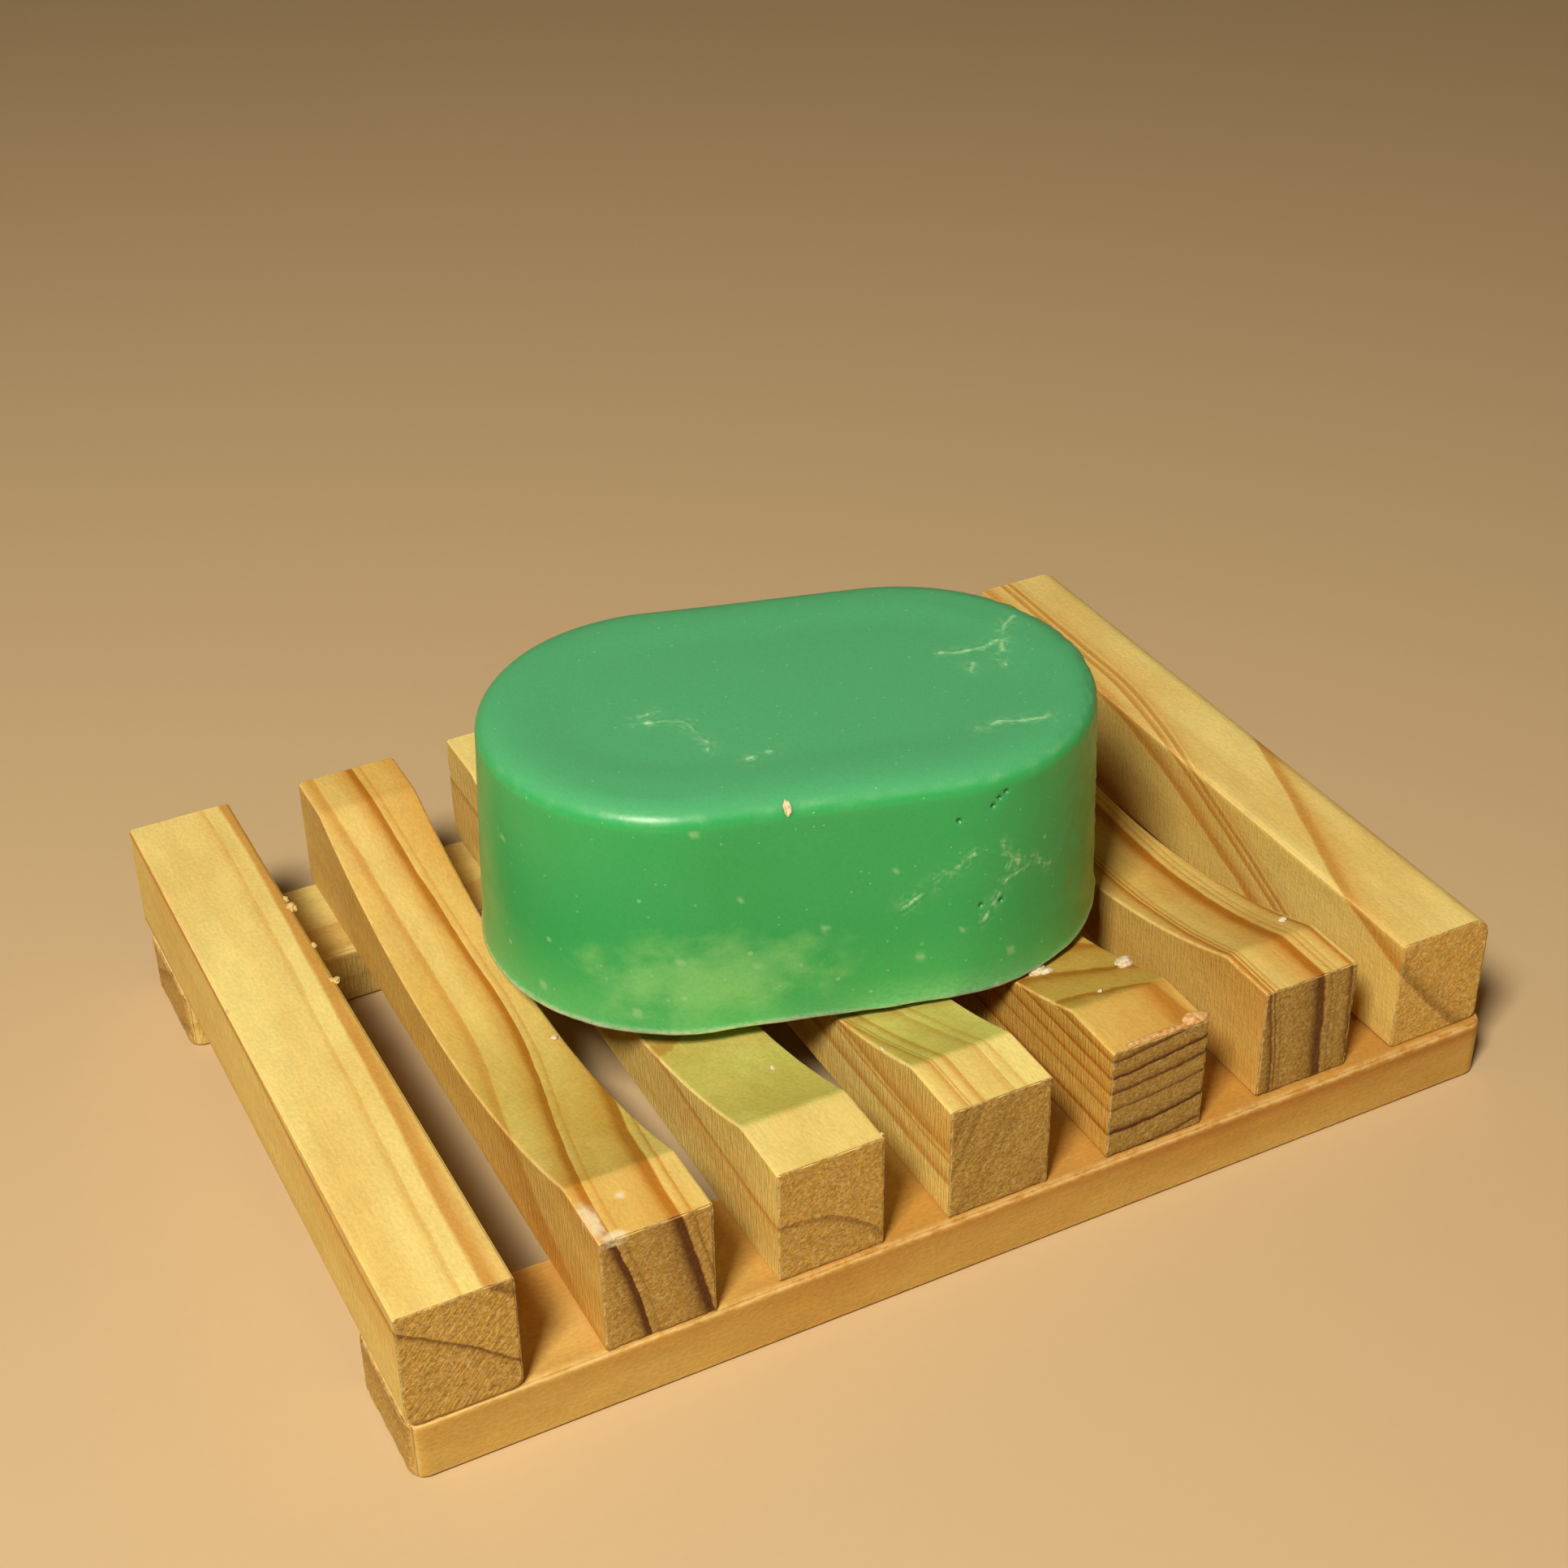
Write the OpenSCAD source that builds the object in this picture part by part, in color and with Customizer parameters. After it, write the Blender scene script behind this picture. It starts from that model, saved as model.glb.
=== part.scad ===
// Oval shaving soap puck resting on its slatted drying dish.
// Two rails carry seven crosswise slats. The five inner slats are hollowed together,
// so the puck sits in a shallow trough and drains between them.
// Origin: centre of the dish on the surface it stands on. +X runs along the rails,
// -Y is the front, +Z is up. Millimetres.

/* [Rails] */
// Length of both rails, side to side
rail_length = 120; // [116:1:150]
// Depth of each rail, front to back
rail_depth = 14; // [8:0.5:18]
// Height of each rail
rail_height = 7; // [4:0.5:12]
// Radius of each rail's upright corners
rail_corner = 1.6; // [0.5:0.1:3]
// How far the rear rail stands in from the back of the dish
rear_rail_inset = 1.6; // [0:0.1:4]

/* [Slats] */
// Width of each slat
slat_width = 11.2; // [8:0.1:12]
// Height of each slat
slat_height = 13.35; // [11:0.05:18]
// Length of each slat, front to back
slat_length = 82.5; // [80:0.5:100]
// Radius along each slat's long edges
slat_edge = 0.5; // [0.2:0.1:1.5]

/* [Trough] */
// Depth of the trough cut across the inner slats
trough_depth = 6.6; // [2:0.1:8]
// Length of the flat left at each end of the trough
trough_flat = 7.65; // [5:0.05:12]

/* [Brads] */
// Length of each brad, head to point
brad_length = 15; // [11:0.5:16]
// Diameter of a brad's shank
brad_diameter = 1.2; // [0.8:0.1:2]
// Diameter of a brad's head
brad_head_diameter = 2; // [1.6:0.1:3]
// How deep each head is set into the rail
brad_recess = 0.2; // [0.1:0.1:1]

/* [Soap] */
// Length of the puck, at its foot
soap_length = 65; // [55:1:75]
// Width of the puck, at its foot
soap_width = 41.9; // [36:0.1:46]
// Height of the puck
soap_height = 25.5; // [15:0.5:35]
// How much each side leans in from foot to shoulder
soap_draft = 0.9; // [0:0.1:2]
// How far in from the side the shoulder begins to fall
soap_shoulder = 4; // [1:0.1:5]
// How far down the side the shoulder reaches
soap_shoulder_drop = 2.4; // [1:0.1:5]
// How far the top has sunk inside its rim
soap_sink = 0.5; // [0.1:0.1:1.5]
// Turn of the puck on the dish, clockwise seen from above, in degrees
soap_turn = 15.5; // [0:0.5:30]

/* [Hidden] */

slat_count = 7;
// How far each slat was nailed to the right of its even place, and behind it
slat_nudge = [0, 1, 0.6, 0.6, 0.4, 0.6, -0.8];
slat_shift = [-0.55, -0.4, 0.05, 0, 0.05, 0.55, 0.35];

dish_half_depth = slat_length / 2 + max(slat_shift);
front_rail_y = rail_depth / 2 - dish_half_depth;
rear_rail_y = dish_half_depth - rear_rail_inset - rail_depth / 2;
slat_pitch = (rail_length - slat_width) / (slat_count - 1);
dish_height = rail_height + slat_height;

// The trough is one round cut along X, as long across the dish as the flats leave it
trough_half = dish_half_depth - max(slat_shift) - trough_flat;
trough_radius = (trough_half ^ 2 + trough_depth ^ 2) / (2 * trough_depth);
trough_axis_z = dish_height - trough_depth + trough_radius;

brad_head = 0.4;
brad_point = 1.5;
brad_tip_z = brad_recess + brad_length;

// The puck's centre on the dish, and the height at which its foot meets the trough
soap_x = -0.3;
soap_y = 0.3;
soap_gap = 0.1;
soap_straight = (soap_length - soap_width) / 2;
soap_reach = soap_straight * sin(soap_turn) + soap_width / 2 + soap_y;
soap_z = trough_axis_z - sqrt(trough_radius ^ 2 - soap_reach ^ 2) + soap_gap;
soap_rim = soap_width / 2 - soap_draft - soap_shoulder;
soap_slope = 6;
// Below 1, the shoulder falls gently from the top and turns more tightly into the side
shoulder_power = 0.8;
shoulder_steps = 10;
sink_steps = 6;

cut = 1;
pine = "#dcb66f";
end_pine = "#d0a562";
steel = "#9a9a98";
soap_green = "#3fa45b";

function slat_x(i) = (slat_width - rail_length) / 2 + i * slat_pitch + slat_nudge[i];

// Half of the puck's section: foot, leaning side, round shoulder, and the sunken top
function soap_section() = concat(
    [[0, 0], [soap_width / 2, 0]],
    [for (i = [0:shoulder_steps])
        let (turn = 90 * i / shoulder_steps)
        [soap_rim + soap_shoulder * cos(turn) ^ shoulder_power,
         soap_height - soap_shoulder_drop * (1 - sin(turn) ^ shoulder_power)]],
    [for (i = [1:sink_steps])
        let (part = i / sink_steps)
        [soap_rim - soap_slope * part,
         soap_height - soap_sink * (1 - cos(180 * part)) / 2]],
    [[0, soap_height - soap_sink]]
);

module rounded_rectangle(width, height, radius) {
    square([width - 2 * radius, height], center = true);
    square([width, height - 2 * radius], center = true);
    for (x = [-1, 1], y = [-1, 1])
        translate([x * (width / 2 - radius), y * (height / 2 - radius)])
            circle(r = radius, $fn = 32);
}

// One brad, driven up from below at x, y: head, shank and point
module brad(x, y) {
    translate([x, y, brad_recess]) {
        cylinder(d = brad_head_diameter, h = brad_head, $fn = 32);
        cylinder(d = brad_diameter, h = brad_length - brad_point, $fn = 32);
        translate([0, 0, brad_length - brad_point])
            cylinder(d1 = brad_diameter, d2 = brad_diameter / 4, h = brad_point, $fn = 32);
    }
}

module brad_row(y) {
    for (i = [0:slat_count - 1])
        brad(slat_x(i), y);
}

module straight_slat(i) {
    difference() {
        translate([slat_x(i), slat_shift[i], rail_height + slat_height / 2])
            rotate([90, 0, 0])
                linear_extrude(slat_length, center = true)
                    rounded_rectangle(slat_width, slat_height, slat_edge);
        brad(slat_x(i), front_rail_y);
        brad(slat_x(i), rear_rail_y);
    }
}

module scooped_slat(i) {
    difference() {
        straight_slat(i);
        translate([slat_x(i), 0, trough_axis_z])
            rotate([0, 90, 0])
                cylinder(r = trough_radius, h = slat_width + 2 * cut, center = true, $fn = 180);
    }
}

// One rail, with a row of brad holes and the pockets that the heads are set into
module rail(y) {
    difference() {
        translate([0, y, 0])
            linear_extrude(rail_height)
                rounded_rectangle(rail_length, rail_depth, rail_corner);
        brad_row(y);
        for (i = [0:slat_count - 1])
            translate([slat_x(i), y, -cut])
                cylinder(d = brad_head_diameter, h = cut + brad_recess, $fn = 32);
    }
}

module soap_end() {
    rotate([0, 0, -90])
        rotate_extrude(angle = 180, $fn = 96)
            polygon(soap_section());
}

module soap_middle() {
    rotate([90, 0, 90])
        linear_extrude(2 * soap_straight, center = true) {
            polygon(soap_section());
            mirror([1, 0])
                polygon(soap_section());
        }
}

module soap_puck() {
    color(soap_green)
        translate([soap_x, soap_y, soap_z])
            rotate([0, 0, -soap_turn]) {
                soap_middle();
                translate([soap_straight, 0, 0])
                    soap_end();
                translate([-soap_straight, 0, 0])
                    rotate([0, 0, 180])
                        soap_end();
            }
}

module left_end_slat() {
    color(pine)
        straight_slat(0);
}

module right_end_slat() {
    color(pine)
        straight_slat(slat_count - 1);
}

module inner_slat(number) {
    color(pine)
        scooped_slat(number);
}

module front_rail() {
    color(end_pine)
        rail(front_rail_y);
}

module rear_rail() {
    color(end_pine)
        rail(rear_rail_y);
}

module front_brads() {
    color(steel)
        brad_row(front_rail_y);
}

module rear_brads() {
    color(steel)
        brad_row(rear_rail_y);
}

soap_puck();
left_end_slat();
inner_slat(1);  // scooped_slat_1
inner_slat(2);  // scooped_slat_2
inner_slat(3);  // scooped_slat_3
inner_slat(4);  // scooped_slat_4
inner_slat(5);  // scooped_slat_5
right_end_slat();
front_rail();
rear_rail();
front_brads();
rear_brads();
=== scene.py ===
"""An oval shaving soap puck on its slatted pine drying dish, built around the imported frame.

Each maker below is an operator. main() runs them in order. Lengths inside the makers are in
millimetres, and are turned into metres when a mesh is written.
"""

import math

import bmesh
import bpy
import numpy as np
from mathutils import Euler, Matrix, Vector
from mathutils.kdtree import KDTree


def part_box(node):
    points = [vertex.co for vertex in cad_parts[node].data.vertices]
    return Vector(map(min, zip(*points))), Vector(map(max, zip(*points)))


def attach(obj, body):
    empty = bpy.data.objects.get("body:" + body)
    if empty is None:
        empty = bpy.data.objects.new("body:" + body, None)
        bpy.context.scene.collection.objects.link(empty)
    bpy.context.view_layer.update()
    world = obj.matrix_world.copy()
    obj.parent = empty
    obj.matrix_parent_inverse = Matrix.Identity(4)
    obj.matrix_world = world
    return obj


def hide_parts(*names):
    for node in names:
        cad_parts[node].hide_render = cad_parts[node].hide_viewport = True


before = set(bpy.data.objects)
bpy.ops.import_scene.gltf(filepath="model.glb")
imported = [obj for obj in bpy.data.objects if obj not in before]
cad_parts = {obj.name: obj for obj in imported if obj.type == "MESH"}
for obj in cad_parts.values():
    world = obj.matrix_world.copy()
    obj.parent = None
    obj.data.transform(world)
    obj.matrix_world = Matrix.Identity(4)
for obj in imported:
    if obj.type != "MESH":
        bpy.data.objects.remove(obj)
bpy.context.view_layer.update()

bl_info = {
    "name": "Soap Puck and Drying Dish",
    "version": (1, 0, 0),
    "blender": (4, 5, 0),
    "location": "View3D > Sidebar > Soap Dish",
    "description": "Builds a cast soap puck, a slatted pine dish and a studio on the frame",
    "category": "Object",
}

MM = 0.001


# ---------------------------------------------------------------- colours and nodes

# Settings that many nodes share
PLUS = {"operation": "ADD"}
LESS = {"operation": "SUBTRACT"}
TIMES = {"operation": "MULTIPLY"}
SMOOTH = {"interpolation_type": "SMOOTHSTEP"}
COLOUR = {"data_type": "RGBA"}
TINT = {"data_type": "RGBA", "blend_type": "MULTIPLY"}


def linear(colour):
    """An sRGB hex colour as linear red, green, blue and alpha."""
    channels = [int(colour[i : i + 2], 16) / 255 for i in (1, 3, 5)]
    lit = [c / 12.92 if c <= 0.04045 else ((c + 0.055) / 1.055) ** 2.4 for c in channels]
    return (*lit, 1.0)


def add(tree, kind, *values, out=0, **settings):
    """Adds one shader node with its settings and links, and returns its output.

    Values go in order to the inputs that the settings leave in use, or one dict names its
    inputs. A value is a number, a colour, or another node's output. out names another output
    than the first, and None asks for all of them.
    """
    made = tree.nodes.new("ShaderNode" + kind)
    for name, value in settings.items():
        setattr(made, name, value)
    if values and isinstance(values[0], dict):
        pairs = [(made.inputs[name], value) for name, value in values[0].items()]
    else:
        pairs = zip([socket for socket in made.inputs if socket.enabled], values)
    for socket, value in pairs:
        if isinstance(value, bpy.types.NodeSocket):
            tree.links.new(value, socket)
        else:
            socket.default_value = value
    if out is None:
        return made.outputs[:]
    return made.outputs[out] if out else [s for s in made.outputs if s.enabled][0]


def chain(tree, kind, first, *others, **settings):
    """Takes several values together with a row of one kind of node, as in a long sum."""
    total = first
    for other in others:
        total = add(tree, kind, total, other, **settings)
    return total


def new_material(name):
    """A material with an empty tree."""
    material = bpy.data.materials.new(name)
    material.use_nodes = True
    material.node_tree.nodes.clear()
    return material, material.node_tree


def finished(material, finish):
    """Ends a material in one Principled shader with the given finish."""
    tree = material.node_tree
    add(tree, "OutputMaterial", add(tree, "BsdfPrincipled", finish), out=None)
    return material


def mottling(tree, place, size, detail=2.0, roughness=0.5, seed=0.0):
    """Soft patches from 0 to 1 that are size millimetres across, long and high."""
    scaled = add(tree, "VectorMath", place, size, operation="DIVIDE")
    moved = add(tree, "VectorMath", scaled, (seed,) * 3, **PLUS)
    return add(tree, "TexNoise", moved, 1.0, detail, roughness)


def patches(tree, place, size, *levels, **noise):
    """Mottling stretched between two of its levels, from 0 to 1 or between two more."""
    return add(tree, "MapRange", mottling(tree, place, size, **noise), *levels, **SMOOTH)


def shaded(tree, colour, amount):
    """A colour made lighter or darker by an amount near 1."""
    grey = add(tree, "CombineColor", amount, amount, amount)
    return add(tree, "Mix", 1.0, colour, grey, **TINT)


def object_millimetres(tree, corner=(0, 0, 0)):
    """Where a point is from corner, a place in the object's own space in metres."""
    place = add(tree, "TexCoord", out="Object")
    local = add(tree, "VectorMath", place, corner, **LESS)
    return add(tree, "VectorMath", local, 1 / MM, operation="SCALE")


# ---------------------------------------------------------------- mesh helpers


def hashed(lattice):
    """A number from 0 to 1 for each whole-number point."""
    mixed = np.sin(lattice @ np.array((127.1, 311.7, 74.7))) * 43758.5453
    return mixed - np.floor(mixed)


def ripple(points, size, seed=0):
    """Smooth random heights from -1 to 1 over features size millimetres across."""
    cell = points / np.asarray(size, float) + seed * 17.31
    base = np.floor(cell)
    part = cell - base
    part = part * part * (3 - 2 * part)
    total = np.zeros(len(points))
    for corner in np.ndindex(2, 2, 2):
        weight = np.prod(np.where(corner, part, 1 - part), axis=1)
        total += weight * hashed(base + corner)
    return 2 * total - 1


def mesh_object(name, points, faces, values=None, smooth=True):
    """A mesh object from points in millimetres, with named numbers on its points."""
    mesh = bpy.data.meshes.new(name)
    mesh.from_pydata((np.asarray(points) * MM).tolist(), [], faces)
    mesh.validate()
    for key, numbers in (values or {}).items():
        layer = mesh.attributes.new(key, "FLOAT", "POINT")
        layer.data.foreach_set("value", np.asarray(numbers, np.float32))
    mesh.polygons.foreach_set("use_smooth", [smooth] * len(mesh.polygons))
    made = bpy.data.objects.new(name, mesh)
    bpy.context.scene.collection.objects.link(made)
    return made


def place_piece(piece, material, body, replaced=()):
    """Gives a finished piece its material, its body and the node it stands for."""
    piece.data.materials.append(material)
    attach(piece, body)
    if replaced:
        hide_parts(*replaced)
    return piece


# Steps round a bar's edge, and how far in from it the first lines of the flat part lie
EDGE_STEPS = 3
NEAR_LINES = (0.0, 0.12, 0.3, 0.55, 0.85, 1.2)
NEXT_LINE = 0.3


def axis_lines(half, margin, spacing):
    """Grid lines along one side of a bar: places on its flat part, and turns round its edge.

    Lines stand closer together near the edges, where a wide corner radius needs them.
    """
    bends = [math.tan(math.pi / 4 * k / EDGE_STEPS) for k in range(1, EDGE_STEPS + 1)]
    flat = half - margin
    near = [flat - d for d in NEAR_LINES]
    reach = near[-1] - NEXT_LINE
    count = max(2, round(2 * reach / spacing))
    middle = [reach * (-1 + 2 * i / count) for i in range(count + 1)]
    flats = [-n for n in near] + middle + near[::-1]
    inner = [-flat] * EDGE_STEPS + flats + [flat] * EDGE_STEPS
    outer = [-b for b in reversed(bends)] + [0.0] * len(flats) + bends
    return np.array(inner), np.array(outer)


def rounded_bar(size, margin, spacing):
    """A box with an edge radius of margin. Returns points, faces and outward directions."""
    half = np.array(size) / 2
    lines = [axis_lines(half[a], margin, spacing[a]) for a in range(3)]
    counts = [len(inner) for inner, _ in lines]
    grid = np.indices(counts)
    outside = np.any([(grid[a] == 0) | (grid[a] == counts[a] - 1) for a in range(3)], axis=0)
    number = np.full(counts, -1)
    number[outside] = np.arange(outside.sum())
    inner = np.stack([lines[a][0][grid[a][outside]] for a in range(3)], axis=1)
    outer = np.stack([lines[a][1][grid[a][outside]] for a in range(3)], axis=1)
    outward = outer / np.linalg.norm(outer, axis=1, keepdims=True)
    points = inner + margin * outward
    faces = []
    for a in range(3):
        for side in (0, counts[a] - 1):
            sheet = np.take(number, side, axis=a)
            quads = np.stack(
                [sheet[:-1, :-1], sheet[1:, :-1], sheet[1:, 1:], sheet[:-1, 1:]], axis=-1
            ).reshape(-1, 4)
            flipped = (side == 0) == (a != 1)
            faces.extend((quads[:, ::-1] if flipped else quads).tolist())
    return points, faces, outward


def round_corners(points, half, first, second, radii):
    """Rounds a bar's corners in the plane of two axes.

    radii gives each corner's radius: low low, high low, low high, high high.
    """
    table = np.array(radii).reshape(2, 2)
    high = (points[:, [first, second]] > 0).astype(int)
    radius = table[high[:, 1], high[:, 0]]
    size = np.abs(points[:, [first, second]])
    centre = np.array([half[first], half[second]]) - radius[:, None]
    past = np.clip(size - centre, 0, None)
    reach = np.maximum(np.linalg.norm(past, axis=1), 1e-9)
    turned = past * (past.max(axis=1) / reach)[:, None]
    corner = past.min(axis=1) > 0
    moved = np.where(corner[:, None], centre + turned, size)
    points[:, [first, second]] = moved * np.sign(points[:, [first, second]])
    return points


def opened(points, faces):
    """An editable mesh of the given points and faces."""
    work = bmesh.new()
    verts = [work.verts.new(point) for point in points]
    for face in faces:
        work.faces.new([verts[i] for i in face])
    return work


def closed(work):
    """The points, outward directions and faces of an editable mesh, which is then freed."""
    work.normal_update()
    work.verts.index_update()
    points = np.array([v.co for v in work.verts])
    normals = np.array([v.normal for v in work.verts])
    faces = [[v.index for v in f.verts] for f in work.faces]
    work.free()
    return points, normals, faces


def weld(points, faces, distance=0.01):
    """Joins points that coincide, and drops faces that close up."""
    work = opened(points, faces)
    bmesh.ops.remove_doubles(work, verts=work.verts, dist=distance)
    bmesh.ops.dissolve_degenerate(work, edges=work.edges, dist=distance / 10)
    points, _, faces = closed(work)
    return points, faces


def nearest_of(centres):
    """A tree that finds which of the centres is nearest to a point."""
    tree = KDTree(len(centres))
    for i, centre in enumerate(centres):
        tree.insert(centre, i)
    tree.balance()
    return tree


def refine_near(points, faces, centres, reach, cuts):
    """Splits the faces near the given centres, so that small marks have enough points."""
    tree = nearest_of(centres)
    work = opened(points, faces)
    near = [f for f in work.faces if tree.find(f.calc_center_median())[2] < reach]
    edges = list({e for f in near for e in f.edges})
    bmesh.ops.subdivide_edges(work, edges=edges, cuts=cuts, use_grid_fill=True)
    bmesh.ops.recalc_face_normals(work, faces=work.faces)
    return closed(work)


def line_points(corners, step=0.12):
    """Points every step millimetres along a broken line."""
    corners = [np.array(c, float) for c in corners]
    made = []
    for a, b in zip(corners, corners[1:]):
        count = max(1, round(np.linalg.norm(b - a) / step))
        made.extend(a + (b - a) * i / count for i in range(count))
    made.append(corners[-1])
    return made


def distances(points, centres):
    """How far each point is from the nearest centre."""
    tree = nearest_of(centres)
    return np.array([tree.find(p)[2] for p in points])


# ---------------------------------------------------------------- settings


def tint(name, description, colour):
    """A colour that a user can change."""
    return bpy.props.FloatVectorProperty(
        name=name, description=description, default=linear(colour)[:3], subtype="COLOR"
    )


def measure(name, description, value, unit="LENGTH"):
    """A number that a user can change, which is a length in metres if no other unit is given."""
    return bpy.props.FloatProperty(
        name=name, description=description, default=value, unit=unit
    )


class SoapSettings(bpy.types.PropertyGroup):
    """The puck's own sizes, which its box on the turned frame doesn't give, and its colours."""

    length: measure("Length", "Length at the foot", 0.065)
    width: measure("Width", "Width at the foot", 0.0419)
    turn: measure(
        "Turn", "How far it lies turned, clockwise from above", math.radians(15.5), "ROTATION"
    )
    draft: measure("Draft", "How far each side leans in", 0.0009)
    shoulder: measure("Shoulder", "How far in from the side the shoulder starts to fall", 0.004)
    drop: measure("Drop", "How far down the side the shoulder reaches", 0.0024)
    sink: measure("Sink", "How far the top has sunk inside its rim", 0.0003)
    flash: measure("Flash", "Reach of the thin rim at the foot", 0.0003)
    scatter: measure("Scatter", "How deep light goes in", 0.0035)
    body: tint("Body", "Colour of the sides", "#38AC61")
    # The top colour is a painted reflection, mixed in where the surface faces up
    top: tint("Top", "Colour of the dry top", "#56B079")
    # The glow colour is painted light: it brightens the side towards the foot
    glow: tint("Glow", "Colour near the foot, where light comes out again", "#60CB6E")
    patch: tint("Patch", "Colour of the cloud low on the front", "#95D585")
    pale: tint("Pale", "Colour of the flash, bubbles and scuffs", "#B9E3AE")
    # The pit colour is painted shade inside the dented pits
    hollow: tint("Hollow", "Colour inside the pits", "#1F6B3A")


class PineSettings(bpy.types.PropertyGroup):
    """Colours of the dish's pine, and the spacing of its mesh."""

    spring_wood: tint("Spring wood", "Pale wood of early summer growth", "#EDD784")
    warm_wood: tint("Warm wood", "Spring wood where it is richer in resin", "#DDB25A")
    golden_wood: tint("Golden wood", "Wood on the way from spring to summer wood", "#DFA243")
    summer_wood: tint("Summer wood", "Dark lines of late growth", "#AE6C1A")
    end_wood: tint("End grain", "Spring wood on a sawn end", "#C89E48")
    end_ring: tint("End grain rings", "Summer wood on a sawn end", "#6A3C0E")
    crushed: tint("Crushed fibre", "Pale granules that the saw left on an end", "#E6CB8C")
    rubbed: tint("Rubbed edge", "Edges worn pale by handling", "#F0D592")
    # Trough tint: partly real soap residue, partly painted green light bounced from the puck
    residue_and_bounce: tint("Soap residue", "What the trough's colour is multiplied by", "#D8E0BC")
    chalk: tint("Dried soap", "Smear of dried soap", "#F0E2BC")
    grid: measure("Grid", "Spacing of a slat's mesh", 0.0005)


class StageSettings(bpy.types.PropertyGroup):
    """The floor, the lights and the camera."""

    floor: tint("Floor", "Colour of the backdrop paper", "#CDB288")
    key_power: measure("Key power", "Power of the key light", 4.35, "POWER")
    fill_power: measure("Fill power", "Power of the fill light", 0.2, "POWER")
    sky: measure("Sky", "Strength of the sky", 0.08, "NONE")
    lens: measure("Lens", "Focal length of the camera", 58.7, "CAMERA")


# ---------------------------------------------------------------- materials

# The cloud low on the puck's front: its middle, and how far it reaches each way
CLOUD_PLACE = (-12.0, -19.0, 6.0)
CLOUD_REACH = (15.0, 9.0, 6.5)
# Size of the cells that hold one air bubble or one powder speck each
BUBBLE_CELL = 1.7
SPECK_CELL = 0.9


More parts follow.
